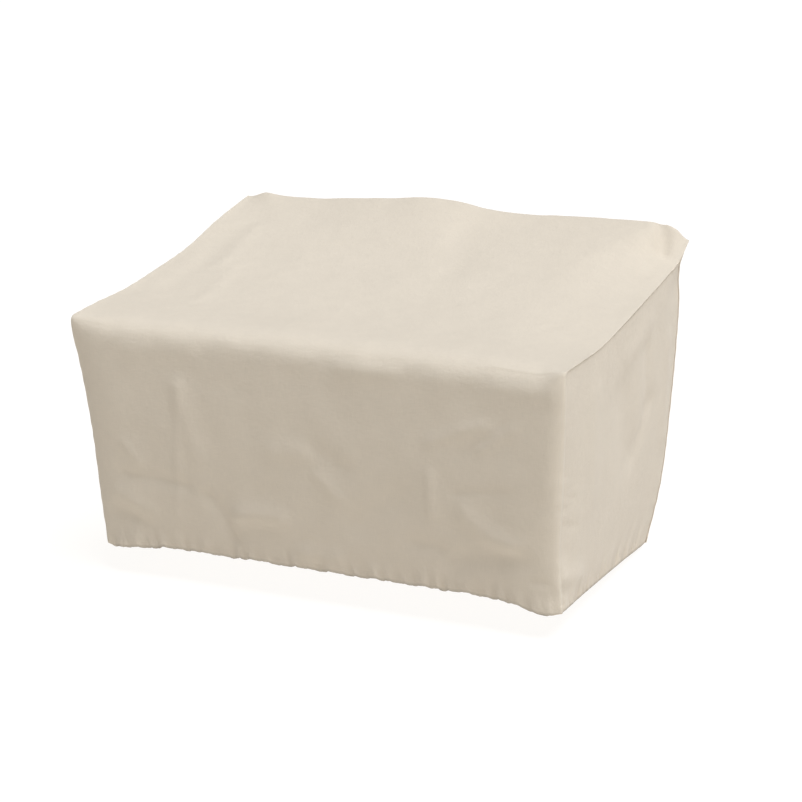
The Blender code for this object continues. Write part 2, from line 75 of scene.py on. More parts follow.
# How the cloth turns a corner: the lengths of cloth that bend before it and after it
Bend = namedtuple("Bend", "before after")
EDGE_BEND = Bend(0.068, 0.080)  # soft roll along the front edge
EDGE_BEND_LEFT = Bend(0.068, 0.026)  # the same at its two ends
EDGE_BEND_RIGHT = Bend(0.054, 0.014)
RIDGE_BEND = Bend(0.030, 0.030)
RIDGE_BEND_SEAM = Bend(0.012, 0.012)
EDGE_SOFT = (0.170, 0.075)  # widths over which the front edge gets soft, from the left and right seams
RIDGE_SOFT = (0.170, 0.170)
# The upright edges, left and right, where the front and back turn into the sides: their radius
Roll = namedtuple("Roll", "hem top")
FRONT_ROLLS = (Roll(0.130, 0.120), Roll(0.130, 0.036))
TOP_ROLLS = [Roll(roll.top, roll.top) for roll in FRONT_ROLLS]  # the top follows the front edge in plan
BACK_ROLLS = (Roll(0.030, 0.030), Roll(0.030, 0.030))
ROLL_CURL = 3  # how fast a roll narrows from the hem up
SHOULDER = 0.22  # width over which the front edge's height settles from its middle to a seam
TOP_SHOULDER = 0.32  # the same for the top's height, at the front edge
RIDGE_SHOULDER = 0.06  # the same at the ridge
HEM_SHOULDER = 0.22  # the same for the height of the hem
RIDGE_PINCH = 4  # how fast the narrow shoulders at the ridge widen away from it

# ---------------------------------------------------------------- the four level lines
# Depths are measured from the ridge and heights from the ground.
Line = namedtuple("Line", "left middle right")
LINES = {
    "front_hem": Line((-0.634, -0.899, 0.075), (0, -0.919, HEM), (0.664, -0.894, 0.070)),
    "front_edge": Line((-0.703, -0.948, 0.699), (0, -DEPTH, EDGE), (0.676, -0.933, 0.696)),
    "ridge": Line((-0.668, 0, 0.872), (0, 0, RIDGE), (0.684, 0, 0.852)),
    "back_hem": Line((-0.630, -0.150, 0.048), (0, -0.135, 0.060), (0.634, -0.152, 0.018)),
}

# How each run bows away from the straight line between its two level lines, at a share of the run.
# "in" draws a seam towards the middle of the cover, "back" and "up" move it, all in metres.
Bow = namedtuple("Bow", "at left_in left_back left_up mid_back mid_up right_in right_back right_up")
FRONT_BOWS = (
    Bow(0.00, 0.000, 0.000, 0.000, 0.000, 0.000, 0.000, 0.000, 0.000),
    Bow(0.20, 0.000, 0.009, 0.000, -0.006, 0.000, 0.008, 0.001, 0.000),
    Bow(0.55, 0.004, 0.021, 0.000, -0.011, 0.000, 0.003, 0.002, 0.000),
    Bow(0.88, -0.003, 0.020, 0.000, -0.002, 0.000, -0.002, -0.003, 0.000),
    Bow(1.00, 0.000, 0.000, 0.000, 0.000, 0.000, 0.000, 0.000, 0.000),
)
TOP_BOWS = (
    Bow(0.00, 0.000, 0.000, 0.000, 0.000, 0.000, 0.000, 0.000, 0.000),
    Bow(0.12, 0.006, 0.000, -0.006, 0.000, -0.012, 0.001, 0.000, -0.018),
    Bow(0.27, 0.007, 0.000, -0.022, 0.000, -0.033, 0.003, 0.000, -0.039),
    Bow(0.45, 0.006, 0.000, -0.028, 0.000, -0.043, 0.004, 0.000, -0.045),
    Bow(0.62, 0.005, 0.000, -0.028, 0.000, -0.044, 0.004, 0.000, -0.045),
    Bow(0.80, 0.004, 0.000, -0.008, 0.000, -0.032, 0.003, 0.000, -0.042),
    Bow(0.93, 0.001, 0.000, -0.002, 0.000, -0.013, 0.002, 0.000, -0.032),
    Bow(1.00, 0.000, 0.000, 0.000, 0.000, 0.000, 0.000, 0.000, 0.000),
)
BACK_BOWS = (
    Bow(0.00, 0.000, 0.000, 0.000, 0.000, 0.000, 0.000, 0.000, 0.000),
    Bow(0.07, 0.008, -0.012, 0.000, 0.003, 0.000, 0.012, -0.014, 0.000),
    Bow(0.22, 0.002, -0.002, 0.000, 0.010, 0.000, 0.003, -0.002, 0.000),
    Bow(0.55, -0.006, 0.014, 0.000, 0.020, 0.000, -0.008, 0.018, 0.000),
    Bow(0.82, -0.004, 0.012, 0.000, 0.012, 0.000, -0.011, 0.018, 0.000),
    Bow(1.00, 0.000, 0.000, 0.000, 0.000, 0.000, 0.000, 0.000, 0.000),
)

# The ridge is not level: the left half is carried higher towards the middle, then steps down.
Crown = namedtuple("Crown", "x lift")
RIDGE_CROWN = (
    Crown(-HALF, 0.000),
    Crown(-0.600, -0.010),
    Crown(-0.480, -0.012),
    Crown(-0.230, 0.006),
    Crown(-0.050, 0.018),
    Crown(0.020, 0.012),
    Crown(0.090, 0.000),
    Crown(0.220, -0.006),
    Crown(0.400, 0.000),
    Crown(0.540, -0.001),
    Crown(0.590, -0.002),
    Crown(0.630, -0.005),
    Crown(0.655, 0.000),
    Crown(HALF, -0.002),
)
CROWN_REACH = 0.34  # length of cloth either side of the ridge that the crown lifts

# ---------------------------------------------------------------- folds
# Soft ridges (height above 0) and troughs (below 0). "one" and "two" are the fold's two ends,
# as a place on the face: front and back (x, height), top (x, depth), side (depth, height).
# "bow" is how far the fold's middle lies off the straight line, to its left going from one to two.
Fold = namedtuple("Fold", "one two width height bow")
FOLD_BODY = 0.35  # share of a fold's length, either side of its middle, that keeps its full height
FRONT_FOLDS = (
    # the long upright crease left of the middle, and the full cloth beside it
    Fold((-0.376, 0.630), (-0.408, 0.120), 0.011, 0.0030, 0.006),
    Fold((-0.390, 0.590), (-0.318, 0.330), 0.024, 0.0042, 0.000),
    # the valley from the left seam that turns down to the hem, with a ridge under its start
    Fold((-0.590, 0.292), (-0.330, 0.280), 0.019, -0.0058, 0.000),
    Fold((-0.330, 0.280), (-0.222, 0.120), 0.019, -0.0058, 0.018),
    Fold((-0.590, 0.243), (-0.465, 0.188), 0.020, 0.0056, 0.000),
    Fold((-0.600, 0.190), (-0.470, 0.140), 0.020, -0.0030, 0.000),
    # a short slant on the left
    Fold((-0.556, 0.386), (-0.500, 0.325), 0.011, 0.0036, 0.000),
    # full cloth in the middle of the left half, over the hem
    Fold((-0.228, 0.220), (-0.080, 0.228), 0.028, 0.0105, 0.004),
    Fold((-0.120, 0.405), (-0.010, 0.415), 0.028, 0.0050, 0.000),
    # the slanting crease in the middle and the hollow above it
    Fold((0.010, 0.365), (0.085, 0.295), 0.019, 0.0056, 0.000),
    Fold((-0.010, 0.440), (0.110, 0.380), 0.024, -0.0056, 0.000),
    Fold((0.090, 0.225), (0.260, 0.345), 0.040, -0.0064, -0.010),
    # the short upright crease right of the middle
    Fold((0.328, 0.425), (0.330, 0.275), 0.014, 0.0058, 0.000),
    Fold((0.262, 0.215), (0.360, 0.208), 0.022, -0.0060, 0.000),
    # slanting creases that run up to the front right corner
    Fold((0.300, 0.470), (0.500, 0.552), 0.017, 0.0056, 0.008),
    Fold((0.395, 0.458), (0.500, 0.522), 0.012, -0.0034, 0.000),
    Fold((0.445, 0.472), (0.570, 0.558), 0.014, 0.0050, 0.000),
    # the lobe of full cloth low on the right, with a level crease over it
    Fold((0.360, 0.358), (0.570, 0.386), 0.009, -0.0032, 0.000),
    Fold((0.400, 0.340), (0.575, 0.238), 0.026, 0.0078, -0.026),
    Fold((0.340, 0.165), (0.620, 0.205), 0.030, -0.0056, 0.010),
    Fold((0.590, 0.150), (0.640, 0.152), 0.014, -0.0036, 0.000),
    # low cloth over the hem, and the hem standing out at both corners
    Fold((-0.060, 0.135), (0.080, 0.140), 0.022, 0.0044, 0.000),
    Fold((-0.620, 0.080), (-0.450, 0.088), 0.030, 0.0040, 0.000),
    Fold((0.600, 0.072), (0.660, 0.068), 0.034, 0.0094, 0.000),
    # the cloth is drawn in under the front edge on the left, and full under it on the right
    Fold((-0.240, 0.650), (-0.120, 0.655), 0.026, -0.0016, 0.000),
    Fold((0.060, 0.655), (0.250, 0.650), 0.026, 0.0042, 0.000),
    Fold((0.480, 0.645), (0.670, 0.640), 0.028, 0.0026, 0.000),
)
TOP_FOLDS = (
    # slack along the left seam
    Fold((-0.598, -0.160), (-0.575, -0.740), 0.036, -0.0026, 0.000),
    Fold((-0.540, -0.150), (-0.520, -0.500), 0.026, 0.0030, 0.000),
    Fold((-0.480, -0.400), (-0.440, -0.760), 0.026, 0.0026, 0.000),
    # a short crease on the right
    Fold((0.500, -0.640), (0.545, -0.590), 0.010, -0.0022, 0.000),
    Fold((0.050, -0.050), (0.140, -0.420), 0.050, -0.0030, 0.000),
)
# the sharp line along the front edge at its right end: places are (x, cloth past the edge)
EDGE_FOLDS = (Fold((0.460, 0.018), (0.668, 0.017), 0.006, 0.0015, -0.004),)
# the pinch in the ridge at the right corner, which runs on into the seam, and its raised edge
EAR_FOLDS = (
    Fold((0.602, -0.010), (0.640, -0.085), 0.019, -0.0115, 0.000),
    Fold((0.652, 0.000), (0.645, -0.075), 0.010, 0.0026, 0.000),
    Fold((0.550, -0.030), (0.625, -0.110), 0.012, -0.0020, 0.000),
)
EAR_CALM = 0.012  # these folds fade out this near the seam
EAR_BACK = 0.030  # and over this length of cloth past the ridge
BACK_FOLDS = (
    Fold((-0.480, 0.780), (-0.250, 0.260), 0.032, 0.0050, 0.020),
    Fold((-0.560, 0.640), (-0.400, 0.300), 0.024, -0.0035, 0.010),
    Fold((0.450, 0.760), (0.300, 0.200), 0.034, 0.0050, -0.020),
    Fold((0.560, 0.620), (0.430, 0.300), 0.024, -0.0035, 0.000),
    Fold((-0.050, 0.600), (0.080, 0.140), 0.030, -0.0045, 0.012),
    Fold((-0.380, 0.330), (-0.520, 0.130), 0.026, -0.0040, 0.000),
    Fold((0.520, 0.340), (0.440, 0.120), 0.024, 0.0042, 0.000),
    Fold((-0.160, 0.300), (-0.120, 0.120), 0.020, 0.0030, 0.000),
    Fold((0.180, 0.420), (0.240, 0.160), 0.018, -0.0028, 0.000),
)
SIDE_FOLDS = (
    # full cloth beside the front seam, and the hollow behind it
    Fold((-0.720, 0.630), (-0.700, 0.270), 0.055, 0.0050, 0.000),
    Fold((-0.500, 0.550), (-0.430, 0.330), 0.075, -0.0070, 0.000),
    # the slant in that hollow
    Fold((-0.235, 0.480), (-0.400, 0.310), 0.034, -0.0044, 0.000),
    # full cloth towards the back seam, and a slant up to the top seam
    Fold((-0.135, 0.640), (-0.115, 0.270), 0.034, 0.0050, 0.000),
    Fold((-0.500, 0.606), (-0.270, 0.690), 0.032, 0.0034, 0.000),
    Fold((-0.320, 0.640), (-0.290, 0.420), 0.030, -0.0036, 0.000),
    Fold((-0.930, 0.175), (-0.720, 0.112), 0.030, 0.0050, 0.000),
    # small creases pulled across the front upright seam
    Fold((-0.945, 0.435), (-0.850, 0.408), 0.006, -0.0010, 0.000),
    Fold((-0.945, 0.385), (-0.800, 0.344), 0.007, -0.0012, 0.000),
    Fold((-0.945, 0.352), (-0.870, 0.330), 0.006, -0.0010, 0.000),
    Fold((-0.945, 0.312), (-0.780, 0.264), 0.008, -0.0012, 0.000),
    Fold((-0.945, 0.256), (-0.860, 0.232), 0.007, -0.0012, 0.000),
    Fold((-0.950, 0.150), (-0.870, 0.122), 0.013, -0.0030, 0.000),
)

# ---------------------------------------------------------------- the gathered hem
# The elastic gathers the hem into waves, whose pitch and depth drift slowly along it.
# "lean" slants a wave, in metres along the hem for each metre up the cloth.
Wave = namedtuple("Wave", "pitch depth rise lean start")
GATHERS = (
    Wave(0.0460, 0.0034, 0.034, 0.0, 0.0),
    Wave(0.0205, 0.0015, 0.022, 0.45, 0.3),
    Wave(0.0117, 0.0008, 0.012, -0.30, 0.1),
    Wave(0.1290, 0.0030, 0.062, -0.70, 0.6),
)
SCALLOP = 1.0  # how far the hem line rises and falls, for each metre that the waves push the cloth out
GATHER_CALM = 0.040  # the gathers fade out this near a seam
CORNER_CALM = 0.050  # the folds of a face fade out this near the front edge and the ridge
BACK_GATHER_START = 0.4  # where along the waves the back hem begins, so that it differs from the front
Drift = namedtuple("Drift", "rate amount start")  # rate in turns for each gather, start in radians
PITCH_DRIFTS = (Drift(0.31, 0.9, 0.0), Drift(0.17, 0.5, 1.0))
DEPTH_DRIFT = Drift(0.23, 0.25, 0.7)
CORD_RADIUS = 0.0035  # the hem turns under round the elastic cord with this radius
CASING = 0.026  # cloth turned under past the hem line
CASING_CALM = 0.25  # share of the radius that is left at a seam
HEM_STITCH = 0.015  # height of the hem's stitching above the hem line
HEM_STITCH_SINK = 0.0006  # how far that stitching draws the cloth in
STITCH_VALLEY = 0.003  # half the width of the valley that a row of stitches draws

# ---------------------------------------------------------------- the sewn seams and small unevenness
ALLOWANCE = 0.013  # width of the seam allowance that lies under the centre panel's edge
ALLOWANCE_END = 1.5 * ALLOWANCE  # the cloth that it lifts has come down this far from the edge
ALLOWANCE_LIFT = 0.0009  # how far it lifts the cloth
SEAM_STITCH = 0.0065  # the top stitching's distance from the centre panel's edge
PUCKER = Wave(0.052, 0.0006, 0.020, 0.0, 0.2)  # small waves that the stitching draws beside a seam
LIP_FADE = 0.060  # length of cloth past the ridge over which the lip narrows
SEAM_REACH = 0.16  # share of a side panel's depth over which an upright seam shapes it
SIDE_HEM_RISE = 0.004  # how far the side hems bow up between their corners
PROBE = 0.0015  # half the distance over which a surface's slope is read
PROBE_INSET = 0.002  # a slope is read no nearer than this to the cloth's edge
# Soft unevenness all over: a wavelength across and one up the cloth, and a height, in metres.
Swell = namedtuple("Swell", "across up height seed")
SWELLS = (
    Swell(0.110, 0.190, 0.0016, 3.0),
    Swell(0.085, 0.060, 0.0010, 7.0),
    Swell(0.042, 0.050, 0.00062, 11.0),
)
FULL_SWELL = 1.5  # the front is this much more uneven
SIDE_SWELL = 0.45

# ---------------------------------------------------------------- how finely the sheets are cut
BODY_STEP = 0.0105  # between rows and columns in the body of a panel
HEM_STEP = 0.0048  # between columns along a hem
HEM_BAND = 0.090  # height over which columns stay as fine as the hem's
HEM_ROW = 0.0069  # between rows in that band
CORNER_ROW = 0.0042  # between rows where the cloth turns a corner
FINE_EDGE = Bend(EDGE_BEND.before / 2, EDGE_BEND.after / 4)  # where the front edge has such rows
SIDE_STEP = 0.0062
# Columns beside a seam, at these distances from the panel's edge. The centre panel has them all, and a
# side panel those from SEAM_LIP on.
EDGE_STEPS = (
    *(0.0, 0.0009, SEAM_LIP, 0.0040, 0.0065, 0.0090, 0.0120),
    *(0.0155, 0.0195, 0.0240, 0.0290, 0.0350, 0.0430, 0.0520),
)
CASING_PLACES = (CASING, 0.019, 0.013, 0.0095, 0.0065, 0.0033)  # rows of the hem's turned-under part
SAME_PLACE = 1e-6  # two columns closer than this meet


# ================================================================ the shape of the cloth
def ease(t):
    """0 to 1 with flat ends."""
    t = np.clip(t, 0.0, 1.0)
    return t * t * (3 - 2 * t)


def quarter_turn(t):
    """0 to 1 along a quarter circle: steep at 0, flat at 1."""
    return np.sqrt(1 - (1 - np.clip(t, 0.0, 1.0)) ** 2)


def spline(places, values, at):
    """A smooth curve through rows of values at rising places."""
    places = np.asarray(places, float)
    values = np.asarray(values, float)
    at = np.clip(at, places[0], places[-1])
    k = np.clip(np.searchsorted(places, at, side="right") - 1, 0, len(places) - 2)
    tangents = np.gradient(values, places, axis=0)
    step = places[k + 1] - places[k]
    t = (at - places[k]) / step
    if values.ndim == 2:
        step, t = step[:, None], t[:, None]
    return (
        (2 * t**3 - 3 * t**2 + 1) * values[k]
        + (t**3 - 2 * t**2 + t) * step * tangents[k]
        + (-2 * t**3 + 3 * t**2) * values[k + 1]
        + (t**3 - t**2) * step * tangents[k + 1]
    )


Run = namedtuple("Run", "start end bows start_shoulder end_shoulder rolls")
RUNS = {
    "front": Run("front_hem", "front_edge", FRONT_BOWS, HEM_SHOULDER, SHOULDER, FRONT_ROLLS),
    "top": Run("front_edge", "ridge", TOP_BOWS, TOP_SHOULDER, RIDGE_SHOULDER, TOP_ROLLS),
    "back": Run("ridge", "back_hem", BACK_BOWS, RIDGE_SHOULDER, HEM_SHOULDER, BACK_ROLLS),
}


def shoulder_at(run, share):
    """Width over which a run settles towards a seam: narrow at the ridge and soon wide beyond it."""
    if run.start == "ridge":
        at_start = (1 - share) ** RIDGE_PINCH
    elif run.end == "ridge":
        at_start = 1 - share**RIDGE_PINCH
    else:
        at_start = 1 - share
    return run.start_shoulder * at_start + run.end_shoulder * (1 - at_start)


def on_run(name, share, across):
    """The sharp-cornered surface at a share of one run, before corners are softened."""
    run = RUNS[name]
    share = np.broadcast_to(np.asarray(share, float), across.shape)
    start, end = LINES[run.start], LINES[run.end]
    bow = Bow(*spline([row.at for row in run.bows], run.bows, share).T)

    def between(side, in_x, in_y, in_z):
        straight = np.outer(1 - share, start[side]) + np.outer(share, end[side])
        return straight + np.stack((in_x, in_y, in_z), axis=1)

    left = between(0, bow.left_in, bow.left_back, bow.left_up)
    middle = between(1, 0 * share, bow.mid_back, bow.mid_up)
    right = between(2, -bow.right_in, bow.right_back, bow.right_up)
    edge = left * (1 - across)[:, None] + right * across[:, None]
    x = edge[:, 0]
    from_seam = np.minimum(x - left[:, 0], right[:, 0] - x)
    near_hem = (1 - share) ** ROLL_CURL
    radii = [roll.top + (roll.hem - roll.top) * near_hem for roll in run.rolls]
    turned = quarter_turn((x - left[:, 0]) / radii[0])
    depth_share = np.minimum(turned, quarter_turn((right[:, 0] - x) / radii[1]))
    y = edge[:, 1] + (middle[:, 1] - edge[:, 1]) * depth_share
    z = edge[:, 2] + (middle[:, 2] - edge[:, 2]) * ease(from_seam / shoulder_at(run, share))
    return np.stack((x, y, z), axis=1)


def bend_at(soft, left, right, widths, across):
    """The lengths of cloth that bend before and after a corner, which is sharper at the seams."""
    from_left = ease(across * WIDTH / widths[0])
    from_right = ease((1 - across) * WIDTH / widths[1])

    def length(k):
        on_left = left[k] + (soft[k] - left[k]) * from_left
        on_right = right[k] + (soft[k] - right[k]) * from_right
        return np.where(across < 0.5, on_left, on_right)

    return Bend(length(0), length(1))


def rounded(past, bend):
    """A length past a corner, as the lengths to go before and after it, rounded off within the bend."""
    before, after = bend
    turned = np.clip((past + before) / (before + after), 0, 1)
    to_corner = np.where(past < -before, past, -before * (1 - turned) ** 2)
    from_corner = np.where(past > after, past, after * turned**2)
    return to_corner, from_corner


def taut(across, along):
    """The centre panel without its folds."""
    edge_bend = bend_at(EDGE_BEND, EDGE_BEND_LEFT, EDGE_BEND_RIGHT, EDGE_SOFT, across)
    ridge_bend = bend_at(RIDGE_BEND, RIDGE_BEND_SEAM, RIDGE_BEND_SEAM, RIDGE_SOFT, across)
    to_edge, past_edge = rounded(along - FRONT_RUN, edge_bend)
    to_ridge, past_ridge = rounded(along - RIDGE_AT, ridge_bend)
    on_top = np.where(along < FRONT_RUN + TOP_RUN / 2, past_edge, TOP_RUN + to_ridge)
    point = on_run("front", 1 + to_edge / FRONT_RUN, across)
    point += on_run("top", on_top / TOP_RUN, across) - on_run("top", 0, across)
    point += on_run("back", past_ridge / BACK_RUN, across) - on_run("back", 0, across)
    reach = 1 - ease(np.abs(along - RIDGE_AT) / CROWN_REACH)
    lift = spline([row.x for row in RIDGE_CROWN], [row.lift for row in RIDGE_CROWN], point[:, 0])
    point[:, 2] += lift * reach
    return point


def unit(vectors):
    """The same directions with length 1."""
    return vectors / np.linalg.norm(vectors, axis=1)[:, None]


def slopes(surface, across, along):
    """Unit vectors of a surface at places: out of the cloth, and up it from the front hem on."""
    across = np.clip(across, PROBE_INSET, 1 - PROBE_INSET)
    along = np.clip(along, PROBE_INSET, CLOTH_RUN - PROBE_INSET)
    sideways = surface(across + PROBE, along) - surface(across - PROBE, along)
    upwards = surface(across, along + PROBE) - surface(across, along - PROBE)
    return unit(np.cross(sideways, upwards)), unit(upwards)


def fold_height(folds, place):
    """What the folds of a face add at places on it."""
    height = np.zeros(len(place))
    for fold in folds:
        one, two = np.array(fold.one), np.array(fold.two)
        run = two - one
        length = np.linalg.norm(run)
        share = (place - one) @ run / length**2
        aside = (run[0] * (place - one)[:, 1] - run[1] * (place - one)[:, 0]) / length
        aside = aside - fold.bow * (1 - (2 * share - 1) ** 2)
        ends = np.maximum(0.0, np.abs(share - 0.5) - FOLD_BODY) * length / fold.width
        height += fold.height * np.exp(-((aside / fold.width) ** 2) - ends**2)
    return height


def swell(across, up, seed):
    """The soft unevenness of slack cloth, at places in metres on a face."""
    height = np.zeros(len(across))
    for row in SWELLS:
        places = zip(across / row.across, up / row.up)
        spots = [Vector((x, y, row.seed + seed)) for x, y in places]
        height += row.height * np.array([noise.noise(spot) for spot in spots])
    return height


def waves(row, distance, above):
    """One row of waves at a distance along a hem or seam, fading with the height above it."""
    turn = 2 * math.pi * (row.start + distance + row.lean * above) / row.pitch

    def drift(slow):
        return slow.amount * np.sin(slow.rate * turn + slow.start)

    wave = np.sin(turn + sum(drift(slow) for slow in PITCH_DRIFTS))
    size = 1 - DEPTH_DRIFT.amount + drift(DEPTH_DRIFT)
    return row.depth * wave * size * np.exp(-((above / row.rise) ** 2))


def gathers(distance, above):
    """How far the gathered hem pushes the cloth out."""
    return sum(waves(row, distance, above) for row in GATHERS)


def valley(distance, depth):
    """The small valley that a row of stitches draws, at a distance from it."""
    return -depth * np.exp(-((distance / STITCH_VALLEY) ** 2))


def centre_face(across, along):
    """The centre panel's outer face with its folds and gathered hems, up to the hem lines."""
    point = taut(across, along)
    out = slopes(taut, across, along)[0]
    x, y, z = point.T
    from_seam = np.minimum(across, 1 - across) * WIDTH
    calm = ease(from_seam / GATHER_CALM)
    above = np.minimum(along, CLOTH_RUN - along)
    on_front = along < FRONT_RUN
    on_back = along >= RIDGE_AT
    push = np.select(
        (on_front, on_back),
        (
            fold_height(FRONT_FOLDS, np.stack((x, z), axis=1)),
            fold_height(BACK_FOLDS, np.stack((x, z), axis=1)),
        ),
        fold_height(TOP_FOLDS, np.stack((x, y), axis=1)),
    )
    from_corner = np.minimum(np.abs(along - FRONT_RUN), np.abs(along - RIDGE_AT))
    push *= calm * ease(from_corner / CORNER_CALM)
    push += fold_height(EDGE_FOLDS, np.stack((x, along - FRONT_RUN), axis=1)) * calm
    push += swell(across * WIDTH, along, 0.0) * calm * np.where(on_front, FULL_SWELL, 1.0)
    pinch = fold_height(EAR_FOLDS, np.stack((x, y), axis=1)) * ease(from_seam / EAR_CALM)
    push += pinch * ease((RIDGE_AT + EAR_BACK - along) / EAR_BACK)
    start = np.where(on_back, BACK_GATHER_START, 0.0)
    wave = gathers(start + across * WIDTH, above) * calm
    push += wave + valley(above - HEM_STITCH, HEM_STITCH_SINK) * calm
    push += ALLOWANCE_LIFT * ease((ALLOWANCE_END - from_seam) / ALLOWANCE)
    push += valley(from_seam - SEAM_STITCH, ALLOWANCE_LIFT / 2)
    push += waves(PUCKER, along, np.maximum(from_seam - SEAM_LIP, 0)) * ease(above / GATHER_CALM)
    point = point + out * push[:, None]
    point[:, 2] += SCALLOP * wave
    return point


def turned_under(point, out, up, past, calm):
    """Moves places past a hem line round the elastic cord and up its inside."""
    radius = CORD_RADIUS * (CASING_CALM + (1 - CASING_CALM) * calm)
    turn = np.minimum(past / radius, math.pi)
    rise = np.maximum(past - math.pi * radius, 0)
    inwards = radius * (1 - np.cos(turn))
    upwards = rise - radius * np.sin(turn)
    return point - out * inwards[:, None] + up * upwards[:, None]


def centre_cloth(across, along):
    """The centre panel's outer face, with its hems turned under."""
    on_cloth = np.clip(along, 0.0, CLOTH_RUN)
    point = centre_face(across, on_cloth)
    past = np.abs(along - on_cloth)
    hem = past > 0
    if hem.any():
        out, up = slopes(centre_face, across[hem], on_cloth[hem])
        up = up * np.where(along[hem] < 0, 1.0, -1.0)[:, None]
        calm = ease(np.minimum(across, 1 - across)[hem] * WIDTH / GATHER_CALM)
        point[hem] = turned_under(point[hem], out, up, past[hem], calm)
    return point


def seam(side, along):
    """The edge of a side panel's outer face: just under the centre panel, one lip in from its edge."""
    lip = (SEAM_LIP + (BACK_LIP - SEAM_LIP) * ease((along - RIDGE_AT) / LIP_FADE)) / WIDTH
    across = lip if side == "left" else 1 - lip
    tuck = RIDGE_TUCK * np.exp(-(((along - RIDGE_AT) / RIDGE_BEND_SEAM.before) ** 2))
    under = CLOTH + SEAM_GAP + tuck
    return centre_face(across, along) - slopes(taut, across, along)[0] * under[:, None]


def side_face(side):
    """The outer face of a side panel, spanned between its three seams and its hem line."""
    out = 1 if side == "right" else -1
    low_front, low_back, high_front, high_back = (
        seam(side, np.array([along])) for along in (0.0, CLOTH_RUN, FRONT_RUN, RIDGE_AT)
    )

    def hem(a):
        point = low_front * (1 - a)[:, None] + low_back * a[:, None]
        point[:, 2] += 4 * a * (1 - a) * SIDE_HEM_RISE
        return point

    def hung(a, b, top):
        """How far out the cloth is: plumb below the top seam, and drawn in towards the hem."""
        return hem(a)[:, 0] * (1 - b) ** 2 + top[:, 0] * (1 - (1 - b) ** 2)

    def surface(a, b):
        front = seam(side, FRONT_RUN * b)
        back = seam(side, CLOTH_RUN - BACK_RUN * b)
        top = seam(side, FRONT_RUN + TOP_RUN * a)
        from_back, from_top = (1 - a)[:, None], (1 - b)[:, None]
        from_front, from_hem = a[:, None], b[:, None]
        corners = from_back * from_top * low_front + from_front * from_top * low_back
        corners += from_back * from_hem * high_front + from_front * from_hem * high_back
        point = from_back * front + from_front * back + from_top * hem(a) + from_hem * top - corners
        point[:, 0] = hung(a, b, top)
        none = np.zeros(len(a))
        top_front = np.broadcast_to(high_front, point.shape)
        top_back = np.broadcast_to(high_back, point.shape)
        point[:, 0] += ease(1 - a / SEAM_REACH) * (front[:, 0] - hung(none, b, top_front))
        point[:, 0] += ease(1 - (1 - a) / SEAM_REACH) * (back[:, 0] - hung(none + 1, b, top_back))
        above = b * FRONT_RUN
        from_seam = np.minimum(a, 1 - a) * DEPTH
        calm = ease(from_seam / GATHER_CALM) * ease((1 - b) * FRONT_RUN / GATHER_CALM)
        wave = gathers(a * DEPTH, above) * calm
        push = fold_height(SIDE_FOLDS, point[:, 1:]) + SIDE_SWELL * swell(point[:, 1], point[:, 2], out)
        push = push * calm + wave + valley(above - HEM_STITCH, HEM_STITCH_SINK) * calm
        point[:, 0] += out * push
        point[:, 2] += SCALLOP * wave
        return point

    return surface


def side_cloth(side):
    """The outer face of a side panel, with its hem turned under."""
    face = side_face(side)
    outwards = np.array((1.0 if side == "right" else -1.0, 0, 0))
    upwards = np.array((0, 0, 1.0))

    def surface(a, b):
        on_cloth = np.maximum(b, 0)
        past = (on_cloth - b) * FRONT_RUN
        calm = ease(np.minimum(a, 1 - a) * DEPTH / GATHER_CALM)
        return turned_under(face(a, on_cloth), outwards, upwards, past, calm)

    return surface


# ================================================================ making the sheets
def spread(low, high, step, beside):
    """Places from low to high: close together beside both ends, then evenly at about one step."""
    inner = [low + d for d in beside] + [high - d for d in beside]
    start, end = low + beside[-1], high - beside[-1]
    count = max(1, round((end - start) / step))
    inner += [start + (end - start) * k / count for k in range(1, count)]
    return sorted(inner)


def steps(low, high, step):
    """Even places from low up to but not including high."""
    count = max(1, round((high - low) / step))
    return [low + (high - low) * k / count for k in range(count)]


def bridge(lower, upper, turned):
    """Triangles and quads between two rows of (place, vertex number), which may differ in number."""
    faces = []
    i = j = 0
    while i < len(lower) - 1 or j < len(upper) - 1:
        step_low = i < len(lower) - 1
        step_up = j < len(upper) - 1
        if step_low and step_up and abs(lower[i + 1][0] - upper[j + 1][0]) < SAME_PLACE:
            face = [lower[i][1], lower[i + 1][1], upper[j + 1][1], upper[j][1]]
            i, j = i + 1, j + 1
        elif step_low and (not step_up or lower[i + 1][0] < upper[j + 1][0]):
            face = [lower[i][1], lower[i + 1][1], upper[j][1]]
            i += 1
        else:
            face = [lower[i][1], upper[j + 1][1], upper[j][1]]
            j += 1
        faces.append(face[::-1] if turned else face)
    return faces


def linked(name, data):
    """A new object made of the data, in the scene."""
    piece = bpy.data.objects.new(name, data)
    bpy.context.scene.collection.objects.link(piece)
    return piece


